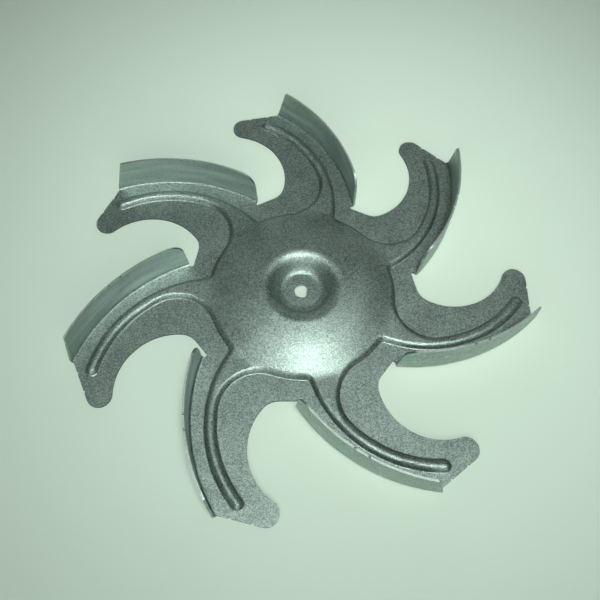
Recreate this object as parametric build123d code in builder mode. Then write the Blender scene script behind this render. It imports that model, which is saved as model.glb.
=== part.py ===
from build123d import *

import os
from math import acos, atan2, degrees, radians, tan

# Fan blade of a convection oven, pressed from one steel sheet. The origin is the centre of the shaft
# hole on the underside of the hub seat, and +Z runs along the shaft, the way the flanges stand.
# Lengths are in millimetres and bearings in degrees, counter-clockwise seen from +Z. One blade is drawn
# with the middle of its tip on the X axis, and the pattern turns it into place.

# Sheet
sheet = 0.8
bend_round = 1.0  # inside a fold

# Pattern of the blades
blade_count = 7
first_blade = 106.7  # bearing of the first tip

# Outline of one blade
tip_reach = 88.0  # shaft axis to the middle of the round tip
tip_round = 4.8
end_bearing = -5.4  # square to the straight end edge, seen from the middle of the tip
end_length = 16.4  # from the round tip to the fold
hollow_bearing = 153.8  # middle of the hooked edge behind the tip, seen from the middle of the tip
hollow_sweep = 105.0
hollow_root_round = 8.0  # where the hollow runs into the root
root_land = 2.9  # flat sheet between the hollow and the foot of the dome
notch_depth = 1.3  # relief notch between two blades, in from the root end of the fold
notch_round = 0.5

# Flange folded up along the outer edge
fold_round = 70.9  # inner face of the flange
fold_root_reach = 47.35  # shaft axis to the root end of the fold
fold_root_bearing = -44.2
flange_height = 15.2  # above the blade
tip_lean = 13.7  # tip end, off upright
root_lean = 6.0
root_corner = 6.0
tip_corner = 1.0

# Nicks left in the cut edges
nick_round = 0.55
end_nicks = (0.22, 0.72)  # shares of the end edge, from the tip
flange_nicks = (22.5, 27.1)  # bearings past the root end of the fold

# Raised star: a round dome with one curved rib for each blade
dome_foot = 37.8
rib_round = 47.4  # middle of the rib, seen from above
rib_root_bearing = -35.3  # where it leaves the dome, seen from the shaft axis
rib_end_gap = 5.4  # middle of its round end to the end edge
rib_fold_gap = 5.8  # and to the fold, along the end edge
rib_width = 4.8  # between the feet of its walls
rib_rise = 1.7  # above the blades
rib_flat = 0.2  # along its top, between the rounds of its sides
flare_round = 15.2  # inner side of the rib, spreading into the dome
armpit_round = 2.0  # outer side of the rib, against the dome
wall_lean = 36.0  # walls of the star, off upright
wall_foot_round = 0.7

# Dome with its sunk seat, in section from the shaft axis out
seat_rise = 1.0  # seat above the blades
seat_foot_round = 4.0
seat_wall_run = 4.3  # from the edge of the seat out to the crest
crest_reach = 13.4  # where the wall of the seat and the dome would meet
crest_rise = 7.1  # above the blades
crest_round = 6.0
brow_share = 0.534  # of the way from the crest to the skirt, where the dome turns down
brow_rise = 5.25
brow_round = 60.0
skirt_inset = 0.8  # from the foot of the dome in to where it would meet the tops of the ribs
skirt_round = 15.0

# Shaft hole with one flat
shaft_hole = 6.1
shaft_flat = 5.1  # across the flat
flat_bearing = -8.5

# Levels of the blades and of the star, and the angle from blade to blade
lower = -seat_rise
upper = lower + sheet
rib_top = upper + rib_rise
pitch = 360 / blade_count


def polar(reach, bearing):
    return Vector(reach, 0).rotate(Axis.Z, bearing)


def bearing_of(point):
    return degrees(atan2(point.Y, point.X))


# Blank of one blade, from the shaft axis out
tip_middle = polar(tip_reach, 0)
hollow_start = tip_middle + polar(tip_round, hollow_bearing)
hollow_lead = polar(1, hollow_bearing)
hollow_reach = dome_foot + root_land
hollow_round = (hollow_start.length**2 - hollow_reach**2) / (hollow_reach - hollow_start.dot(hollow_lead)) / 2
hollow_middle = hollow_start + hollow_lead * hollow_round
bend_start = fold_round - bend_round
end_corner = tip_middle + polar(tip_round, end_bearing)
fold_end = end_corner + polar(end_length, end_bearing - 90)
fold_root = polar(fold_root_reach, fold_root_bearing)
fold_middle = RadiusArc(fold_root, fold_end, -bend_start).arc_center
fold_start = bearing_of(fold_root - fold_middle)
fold_sweep = bearing_of(fold_end - fold_middle) - fold_start
near_notch = fold_root - fold_root.normalized() * notch_depth
far_notch = near_notch.rotate(Axis.Z, pitch)

with BuildSketch() as blade:
    with BuildLine():
        CenterArc(tip_middle, tip_round, end_bearing, hollow_bearing - end_bearing)
        hollow = CenterArc(hollow_middle, hollow_round, hollow_bearing + 180, -hollow_sweep)
        root = Line(hollow @ 1, far_notch)
        end_edge = Line(end_corner, fold_end)
        CenterArc(fold_middle, bend_start, fold_start, fold_sweep)
        Polyline(fold_root, near_notch, (0, 0), far_notch)
    make_face()
    fillet(blade.vertices().sort_by_distance(root @ 0)[0], hollow_root_round)
    with Locations(*(end_edge @ share for share in end_nicks)):
        Circle(nick_round, mode=Mode.SUBTRACT)

with BuildSketch(Plane.XY.offset(lower)) as blank:
    with PolarLocations(0, blade_count, first_blade):
        add(blade.sketch)
    notches = [near_notch.rotate(Axis.Z, first_blade + pitch * blade_no) for blade_no in range(blade_count)]
    fillet([blank.vertices().sort_by_distance(notch)[0] for notch in notches], notch_round)

# Flange of one blade
rise = Vector(0, 0, 1)


def across_flange(sweep, height, lean):
    """Plane across the flange at a bearing past its root end, facing the tip and tipped back by the lean."""
    outward = polar(1, fold_start + sweep)
    along = polar(1, fold_start + sweep + 90)
    place = fold_middle + outward * fold_round + rise * height
    return Plane(place, x_dir=outward, z_dir=along.rotate(Axis((0, 0), outward), lean))


with BuildPart() as flange:
    with BuildSketch(Plane(fold_middle + rise * upper, polar(1, fold_start), polar(1, fold_start - 90))):
        with BuildLine():
            fold_points = [(bend_start - bend_round, 0), (fold_round, 0), (fold_round, flange_height)]
            FilletPolyline(*fold_points, radius=bend_round)
            offset(amount=sheet, side=Side.RIGHT)
        make_face()
    revolve(axis=Axis(fold_middle, rise), revolution_arc=fold_sweep)
    split(bisect_by=across_flange(fold_sweep, upper, tip_lean), keep=Keep.BOTTOM)
    split(bisect_by=across_flange(0, upper, -root_lean), keep=Keep.TOP)
    ends = flange.faces().sort_by(Axis.Z)[-1].edges().filter_by(GeomType.LINE).sort_by_distance((0, 0))
    fillet(ends[0], root_corner)
    ends = flange.faces().sort_by(Axis.Z)[-1].edges().filter_by(GeomType.LINE).sort_by_distance((0, 0))
    fillet(ends[-1], tip_corner)
    for nick in flange_nicks:
        edge = across_flange(nick, upper + flange_height, 0)
        with BuildSketch(Plane(edge.origin, edge.z_dir, edge.x_dir)):
            Circle(nick_round)
        extrude(amount=2 * sheet, both=True, mode=Mode.SUBTRACT)

# Raised star
rib_root = polar(dome_foot, rib_root_bearing)
rib_tip = fold_end - polar(rib_fold_gap, end_bearing - 90) - polar(rib_end_gap, end_bearing)
rib_middle = RadiusArc(rib_root, rib_tip, -rib_round).arc_center
rib_end = bearing_of(rib_tip - rib_middle)
rib_half = rib_width / 2


def beside_root(reach, span):
    """Point at a reach from the shaft axis and a span from the middle of the rib's arc, at its root."""
    turn = acos((reach**2 + rib_middle.length**2 - span**2) / (2 * reach * rib_middle.length))
    return polar(reach, bearing_of(rib_middle) - degrees(turn))


flare_middle = beside_root(dome_foot + flare_round, rib_round - rib_half - flare_round)
flare_end = bearing_of(flare_middle - rib_middle)
armpit_middle = beside_root(dome_foot + armpit_round, rib_round + rib_half + armpit_round)
armpit_start = bearing_of(armpit_middle - rib_middle)


def arc(middle, radius, start, end, turn):
    """Arc from one bearing to another, counter-clockwise where the turn is 1 and clockwise where it is -1."""
    CenterArc(middle, radius, start, turn * ((end - start) * turn % 360))


# Section of the star, along the upper face of the sheet and along its underside
skirt_reach = dome_foot - skirt_inset
roof_points = [
    (0, sheet),
    (crest_reach - seat_wall_run, sheet),
    (crest_reach, upper + crest_rise),
    (crest_reach + brow_share * (skirt_reach - crest_reach), upper + brow_rise),
    (skirt_reach, rib_top),
    (tip_reach + end_length, rib_top),
]
with BuildLine() as roof:
    FilletPolyline(*roof_points, radius=(seat_foot_round, crest_round, brow_round, skirt_round))
with BuildLine() as ceiling:
    add(roof.line)
    offset(amount=sheet, side=Side.RIGHT, closed=False)

# Walls of the star: how far in they come for each millimetre up, and the rounds and insets that follow
lean_in = tan(radians(wall_lean))
turn_in = tan(radians(45 - wall_lean / 2))
wall_top_round = (rib_half - rib_flat / 2 - rib_rise * lean_in) / turn_in
hollow_inset = sheet * turn_in
ridge_share = 0.95  # of the height where the two sides of a rib would meet


def star(level, inset, section, top_round):
    """The star from a level up to its section, with its walls drawn in by inset."""
    half = rib_half - inset
    with BuildLine() as arm:
        arc((0, 0), dome_foot - inset, bearing_of(flare_middle) - pitch, bearing_of(armpit_middle), 1)
        arc(armpit_middle, armpit_round + inset, bearing_of(armpit_middle) + 180, armpit_start + 180, -1)
        arc(rib_middle, rib_round + half, armpit_start, rib_end, 1)
        arc(rib_tip, half, rib_end, rib_end + 180, 1)
        arc(rib_middle, rib_round - half, rib_end, flare_end, -1)
        arc(flare_middle, flare_round + inset, flare_end, bearing_of(flare_middle) + 180, -1)
    with BuildPart() as raised:
        with BuildSketch(Plane.XY.offset(level)):
            with BuildLine():
                with PolarLocations(0, blade_count, first_blade):
                    add(arm.line)
            make_face()
        extrude(amount=ridge_share * half / lean_in, taper=wall_lean)
        with BuildSketch(Plane.XY.offset(level)):
            Circle(dome_foot - rib_half)
        extrude(amount=crest_rise)
        with BuildSketch(Plane.XZ):
            with BuildLine():
                add(section)
                Polyline(section @ 1, ((section @ 1).X, level), (0, level), section @ 0)
            make_face()
        revolve(axis=Axis.Z, mode=Mode.INTERSECT)
        foot = raised.faces().sort_by(Axis.Z)[0].edges()
        walls = raised.faces().filter_by(lambda face: face.edges() & foot)
        rim = (walls.edges() - foot).filter_by(GeomType.LINE, reverse=True)
        fillet(rim, top_round)
    return raised.part


# The whole blade: blank and flanges, and the star raised and hollowed
with BuildPart() as fan_blade:
    add(blank.sketch)
    extrude(amount=sheet)
    add(star(upper, 0, roof.line, wall_top_round))
    fillet(fan_blade.faces().filter_by(Plane.XY).sort_by(Axis.Z)[1].inner_wires().edges(), wall_foot_round)
    add(star(lower, hollow_inset, ceiling.line, wall_top_round - sheet), mode=Mode.SUBTRACT)
    mouth = fan_blade.faces().filter_by(Plane.XY).sort_by(Axis.Z)[0].inner_wires().edges()
    fillet(mouth, wall_foot_round + sheet)
    with PolarLocations(0, blade_count, first_blade):
        add(flange.part)
    with BuildSketch(Plane.XY.rotated((0, 0, flat_bearing))):
        Circle(shaft_hole / 2)
        with Locations((shaft_flat - shaft_hole / 2, 0)):
            Rectangle(shaft_hole, shaft_hole, align=(Align.MIN, Align.CENTER), mode=Mode.SUBTRACT)
    extrude(amount=sheet, mode=Mode.SUBTRACT)

os.makedirs("parts", exist_ok=True)
fan_blade.part.label = "fan_blade"
export_step(fan_blade.part, "parts/fan_blade.step")
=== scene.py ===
from math import radians

import bmesh
import bpy
from mathutils import Matrix, Vector


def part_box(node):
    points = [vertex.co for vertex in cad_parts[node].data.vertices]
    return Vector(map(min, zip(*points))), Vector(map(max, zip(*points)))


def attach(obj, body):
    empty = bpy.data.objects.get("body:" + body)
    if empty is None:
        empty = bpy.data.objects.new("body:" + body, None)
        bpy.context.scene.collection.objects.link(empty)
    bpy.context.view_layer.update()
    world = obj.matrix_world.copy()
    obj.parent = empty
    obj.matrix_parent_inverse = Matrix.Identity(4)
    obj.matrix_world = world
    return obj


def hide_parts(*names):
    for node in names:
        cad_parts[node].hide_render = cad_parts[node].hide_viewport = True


# Fan blade of a convection oven, pressed from one sheet of aluminised steel, lying on a pale table top.
# Lengths are in metres, in the frame of the solid: the shaft runs along +Z and the flanges stand up.
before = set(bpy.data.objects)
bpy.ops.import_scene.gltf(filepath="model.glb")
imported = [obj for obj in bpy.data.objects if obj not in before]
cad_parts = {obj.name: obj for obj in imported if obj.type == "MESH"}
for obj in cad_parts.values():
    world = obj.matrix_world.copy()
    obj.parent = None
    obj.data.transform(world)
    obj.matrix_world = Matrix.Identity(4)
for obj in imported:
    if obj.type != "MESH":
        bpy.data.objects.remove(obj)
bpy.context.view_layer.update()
cad_low, cad_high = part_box("fan_blade")
scene = bpy.context.scene
scene.view_settings.view_transform = "Standard"

MM = 0.001

# Picture that the camera takes, in pixels
PICTURE = 600
FOCUS = 689.4  # focal length
SENSOR = 36.0  # width of the sensor, in the lens's millimetres

# Camera, seen from the middle of the hub
CAMERA_PLACE = Vector((-9.24, -128.3, 248.0)) * MM
CAMERA_TILT = 0.4652  # radians off straight down
CAMERA_PAN = -0.0303  # and to one side

# Lamp above the camera, a wide panel low behind it, a faint one opposite, and the dim room around them.
# Tilts and the lamp's spread are in degrees.
LAMP_TILT = 12.0  # off the zenith, towards the camera
LAMP_SIDE = 5.0  # and towards +X
LAMP_REACH = 0.9
LAMP_SIZE = (0.30, 0.30)
LAMP_SPREAD = 32.0
LAMP_AIM = Vector((25, 28, 0)) * MM
LAMP_POWER = 0.32
PANEL_TILT = 60.0
PANEL_REACH = 1.8
PANEL_SIZE = (2.4, 1.0)
PANEL_POWER = 13.0
BACK_TILT = -68.0
BACK_POWER = 4.0
LIGHT_COLOR = (0.94, 1.0, 0.96)
ROOM_COLOR = (0.74, 0.94, 0.78)
ROOM_STRENGTH = 0.035

# Floor
FLOOR_HALF = 4.0
FLOOR_GAP = 0.4 * MM  # leaves a hairline of shadow under the edges of the blade
FLOOR_COLOR = (0.70, 0.825, 0.71)
FLOOR_ROUGHNESS = 0.7
FLOOR_SHINE = 0.2

# Edges of the sheet
WELD = 0.001 * MM  # joins corners that lie this close
FLAT_ANGLE = radians(0.2)  # makes faces this flat to each other into one
SHARP_ANGLE = radians(35)  # edges beyond it are shaded sharp
CUT_ANGLE = radians(60)  # and beyond this one are rounded
EDGE_ROUND = 0.28 * MM
EDGE_STEPS = 3
FACE_WEIGHT = 90  # large faces lead the normals, where 50 would be even

# Grain of the coating
CRYSTAL = 0.33 * MM
GRAIN = 0.5 * MM
GRAIN_SHARE = 0.25  # of fine noise among the crystals
CLOUD = 14 * MM
CLOUD_SHARE = 0.16
NOISE_LOW = 0.3  # most of the noise lies between these two
NOISE_HIGH = 0.7
GRAIN_HEIGHT = 0.06 * MM
GRAIN_BUMP = 0.9
STEEL_DARK = (0.080, 0.101, 0.093)
STEEL_PALE = (0.495, 0.615, 0.57)
DARK_ROUGHNESS = 0.39
PALE_ROUGHNESS = 0.54

# Rubbed streaks inside the flanges and small tool marks, a painted highlight on the top edges of the
# flanges, and painted shade along the low cut edges
# pale rubbed metal, also laid on the flanges' top edges as a painted highlight
STEEL_RUBBED_AND_GLINT = (0.80, 0.90, 0.86)
STANDING = (0.05, 0.2)  # squared Z of the normal, from a standing face to a lying one
INNER_FADE = 10 * MM  # place along the normal: below minus this on inner faces, above it on outer ones
OUTER_SHARE = 0.15  # of the streaks, left on outer faces
STREAK = 24 * MM
STREAK_SQUEEZE = (1, 1, 6)  # along Z, so that streaks lie level
STREAK_RANGE = (0.4, 0.7)
STREAK_SHARE = (0.35, 0.72)
MARK = 3.5 * MM
MARK_SQUEEZE = (1, 1, 2)
MARK_RANGE = (0.60, 0.74)
MARK_SHARE = 0.4
CROWN_DEPTH = 0.5 * MM  # painted highlight, pale along the top edge of the flanges
CROWN_GLINT_SHARE = 0.5
# painted shade: a dark outline on the cut edges and flange feet, standing for contact shadow
STEEL_EDGE_SHADE = (0.07, 0.08, 0.075)
EDGE_SHADE_LEVEL = -0.15 * MM  # just above the flat of the blades
EDGE_SHADE_FADE = 0.1 * MM
EDGE_SHADE_SHARE = 0.85


class Surface:
    """A new material, with short ways to add its nodes. Each gives the socket that carries the result."""

    def __init__(self, name):
        self.material = bpy.data.materials.new(name)
        self.material.use_nodes = True
        self.nodes = self.material.node_tree.nodes
        self.link = self.material.node_tree.links.new
        self.inputs = self.nodes["Principled BSDF"].inputs

    def noise(self, place, size, detail, squeeze=None):
        """Noise of a size, squeezed along the axes where a squeeze is given."""
        if squeeze:
            mapping = self.nodes.new("ShaderNodeMapping")
            mapping.inputs["Scale"].default_value = squeeze
            self.link(place, mapping.inputs["Vector"])
            place = mapping.outputs["Vector"]
        node = self.nodes.new("ShaderNodeTexNoise")
        node.inputs["Scale"].default_value = 1 / size
        node.inputs["Detail"].default_value = detail
        self.link(place, node.inputs["Vector"])
        return node.outputs["Fac"]

    def spread(self, value, start, end, low=0.0, high=1.0):
        """A value from start to end, spread from low to high and held there beyond."""
        node = self.nodes.new("ShaderNodeMapRange")
        node.inputs["From Min"].default_value = start
        node.inputs["From Max"].default_value = end
        node.inputs["To Min"].default_value = low
        node.inputs["To Max"].default_value = high
        self.link(value, node.inputs["Value"])
        return node.outputs["Result"]

    def mixed(self, first, second, share):
        """Two values, with a share of the second."""
        node = self.nodes.new("ShaderNodeMix")
        node.inputs["Factor"].default_value = share
        self.link(first, node.inputs["A"])
        self.link(second, node.inputs["B"])
        return node.outputs["Result"]

    def joined(self, operation, first, second):
        """Two values, joined by an operation."""
        node = self.nodes.new("ShaderNodeMath")
        node.operation = operation
        self.link(first, node.inputs[0])
        self.link(second, node.inputs[1])
        return node.outputs["Value"]

    def plain(self, color):
        node = self.nodes.new("ShaderNodeRGB")
        node.outputs["Color"].default_value = (*color, 1)
        return node.outputs["Color"]

    def tinted(self, under, color, share):
        """A plain colour, laid over another by a share."""
        node = self.nodes.new("ShaderNodeMix")
        node.data_type = "RGBA"
        node.inputs["B"].default_value = (*color, 1)
        self.link(under, node.inputs["A"])
        self.link(share, node.inputs["Factor"])
        return node.outputs["Result"]

    def axis(self, vector, name):
        node = self.nodes.new("ShaderNodeSeparateXYZ")
        self.link(vector, node.inputs["Vector"])
        return node.outputs[name]

    def along(self, first, second):
        """How far the second vector runs along the first."""
        node = self.nodes.new("ShaderNodeVectorMath")
        node.operation = "DOT_PRODUCT"
        self.link(first, node.inputs[0])
        self.link(second, node.inputs[1])
        return node.outputs["Value"]


def steel_grain(steel, place):
    """Crystals of the coating, each with a tone of its own, broken up by fine noise."""
    crystals = steel.nodes.new("ShaderNodeTexVoronoi")
    crystals.inputs["Scale"].default_value = 1 / CRYSTAL
    steel.link(place, crystals.inputs["Vector"])
    crystal = steel.nodes.new("ShaderNodeSeparateColor")
    steel.link(crystals.outputs["Color"], crystal.inputs["Color"])
    fine = steel.spread(steel.noise(place, GRAIN, detail=2), NOISE_LOW, NOISE_HIGH)
    return steel.mixed(crystal.outputs["Red"], fine, GRAIN_SHARE)


def steel_wear_glint_and_shade(steel, place):
    """Shares of rubbed metal on standing faces, of a painted highlight on the top edges, and of painted
    shade on the low cut edges.
    """
    normal = steel.nodes.new("ShaderNodeNewGeometry").outputs["Normal"]
    height = steel.axis(place, "Z")
    lift = steel.axis(normal, "Z")
    standing = steel.spread(steel.joined("MULTIPLY", lift, lift), *STANDING, 1, 0)
    inner = steel.spread(steel.along(normal, place), -INNER_FADE, INNER_FADE, 1, OUTER_SHARE)
    long_noise = steel.noise(place, STREAK, detail=1, squeeze=STREAK_SQUEEZE)
    short_noise = steel.noise(place, MARK, detail=2, squeeze=MARK_SQUEEZE)
    streaks = steel.spread(long_noise, *STREAK_RANGE, *STREAK_SHARE)
    marks = steel.spread(short_noise, *MARK_RANGE, 0, MARK_SHARE)
    # painted highlight: pale colour along the top edges of the flanges
    crown_glint = steel.spread(height, cad_high.z - CROWN_DEPTH, cad_high.z - CROWN_DEPTH / 2, 0, CROWN_GLINT_SHARE)
    rubs = steel.joined("MAXIMUM", steel.joined("MULTIPLY", inner, streaks), marks)
    rubbed_and_glint = steel.joined("MAXIMUM", steel.joined("MULTIPLY", standing, rubs), crown_glint)
    # painted shade on standing faces just above the blade flats
    low = steel.spread(height, EDGE_SHADE_LEVEL - EDGE_SHADE_FADE, EDGE_SHADE_LEVEL, EDGE_SHADE_SHARE, 0)
    return rubbed_and_glint, steel.joined("MULTIPLY", standing, low)


def sheet_steel():
    """Aluminised steel: a fine crystalline grain under soft clouds, with rubbed metal, a painted highlight
    on the flanges' top edges and painted shade on the low cut edges over them.
    """
    steel = Surface("sheet_steel")
    place = steel.nodes.new("ShaderNodeTexCoord").outputs["Object"]
    grain = steel_grain(steel, place)
    clouds = steel.spread(steel.noise(place, CLOUD, detail=4), NOISE_LOW, NOISE_HIGH)
    tone = steel.mixed(grain, clouds, CLOUD_SHARE)
    rubbed_and_glint, cut_edge_shade = steel_wear_glint_and_shade(steel, place)
    coated = steel.tinted(steel.plain(STEEL_DARK), STEEL_PALE, tone)
    # rubbed metal, with the painted highlight of the top edges
    worn_and_glinting = steel.tinted(coated, STEEL_RUBBED_AND_GLINT, rubbed_and_glint)
    # painted shade laid along the low cut edges
    steel.link(steel.tinted(worn_and_glinting, STEEL_EDGE_SHADE, cut_edge_shade), steel.inputs["Base Color"])
    steel.inputs["Metallic"].default_value = 1.0
    steel.link(steel.spread(tone, 0, 1, DARK_ROUGHNESS, PALE_ROUGHNESS), steel.inputs["Roughness"])

    bump = steel.nodes.new("ShaderNodeBump")
    bump.inputs["Strength"].default_value = GRAIN_BUMP
    bump.inputs["Distance"].default_value = GRAIN_HEIGHT
    steel.link(grain, bump.inputs["Height"])
    steel.link(bump.outputs["Normal"], steel.inputs["Normal"])
    return steel.material


def floor_paint():
    """Pale matt table top."""
    paint = Surface("floor_paint")
    paint.inputs["Base Color"].default_value = (*FLOOR_COLOR, 1)
    paint.inputs["Roughness"].default_value = FLOOR_ROUGHNESS
    paint.inputs["Specular IOR Level"].default_value = FLOOR_SHINE
    return paint.material


def blade_mesh():
    """Copy of the solid's mesh, with flat faces made whole, so that its cut edges can be rounded."""
    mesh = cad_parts["fan_blade"].data.copy()
    mesh.name = "pressed_blade"
    shape = bmesh.new()
    shape.from_mesh(mesh)
    bmesh.ops.remove_doubles(shape, verts=shape.verts, dist=WELD)
    bmesh.ops.dissolve_limit(
        shape, angle_limit=FLAT_ANGLE, use_dissolve_boundaries=False, verts=shape.verts, edges=shape.edges
    )
    shape.to_mesh(mesh)
    shape.free()
    mesh.shade_smooth()
    mesh.set_sharp_from_angle(angle=SHARP_ANGLE)
    return mesh


def pressed_blade():
    """The whole blade, which stands for the solid."""
    blade = bpy.data.objects.new("pressed_blade", blade_mesh())
    scene.collection.objects.link(blade)
    blade.data.materials.clear()
    blade.data.materials.append(sheet_steel())
    rounded = blade.modifiers.new("rounded edges", "BEVEL")
    rounded.width = EDGE_ROUND
    rounded.segments = EDGE_STEPS
    rounded.limit_method = "ANGLE"
    rounded.angle_limit = CUT_ANGLE
    normals = blade.modifiers.new("even normals", "WEIGHTED_NORMAL")
    normals.keep_sharp = True
    normals.weight = FACE_WEIGHT
    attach(blade, "root")
    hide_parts("fan_blade")


def table_top():
    mesh = bpy.data.meshes.new("floor")
    corners = [(-1, -1), (1, -1), (1, 1), (-1, 1)]
    level = cad_low.z - FLOOR_GAP
    mesh.from_pydata([(x * FLOOR_HALF, y * FLOOR_HALF, level) for x, y in corners], [], [(0, 1, 2, 3)])
    floor = bpy.data.objects.new("floor", mesh)
    scene.collection.objects.link(floor)
    mesh.materials.append(floor_paint())


def soft_light(name, size, power, place, aim):
    """Flat light at a place, facing an aim."""
    light = bpy.data.lights.new(name, "AREA")
    light.shape = "RECTANGLE"
    light.size, light.size_y = size
    light.energy = power
    light.color = LIGHT_COLOR
    panel = bpy.data.objects.new(name, light)
    turn = (place - aim).to_track_quat("Z", "Y").to_matrix().to_4x4()
    panel.matrix_world = Matrix.Translation(place) @ turn
    scene.collection.objects.link(panel)
    return light


def overhead(tilt, side, reach):
    """Point at a reach from the hub, tilted off the zenith towards the camera and to one side."""
    turn = Matrix.Rotation(radians(side), 3, "Y") @ Matrix.Rotation(radians(tilt), 3, "X")
    return turn @ Vector((0, 0, reach))


def studio():
    hub = Vector()
    lamp = soft_light("lamp", LAMP_SIZE, LAMP_POWER, overhead(LAMP_TILT, LAMP_SIDE, LAMP_REACH), LAMP_AIM)
    lamp.spread = radians(LAMP_SPREAD)
    soft_light("panel", PANEL_SIZE, PANEL_POWER, overhead(PANEL_TILT, 0, PANEL_REACH), hub)
    soft_light("back_panel", PANEL_SIZE, BACK_POWER, overhead(BACK_TILT, 0, PANEL_REACH), hub)


def dim_room():
    world = bpy.data.worlds.new("room")
    world.use_nodes = True
    sky = world.node_tree.nodes["Background"]
    sky.inputs["Color"].default_value = (*ROOM_COLOR, 1)
    sky.inputs["Strength"].default_value = ROOM_STRENGTH
    scene.world = world


def camera():
    lens = bpy.data.cameras.new("camera")
    lens.sensor_width = SENSOR
    lens.lens = FOCUS / PICTURE * SENSOR
    seen = bpy.data.objects.new("camera", lens)
    turn = Matrix.Rotation(CAMERA_TILT, 4, "X") @ Matrix.Rotation(CAMERA_PAN, 4, "Y")
    seen.matrix_world = Matrix.Translation(CAMERA_PLACE) @ turn
    scene.collection.objects.link(seen)
    scene.camera = seen


pressed_blade()
table_top()
studio()
dim_room()
camera()
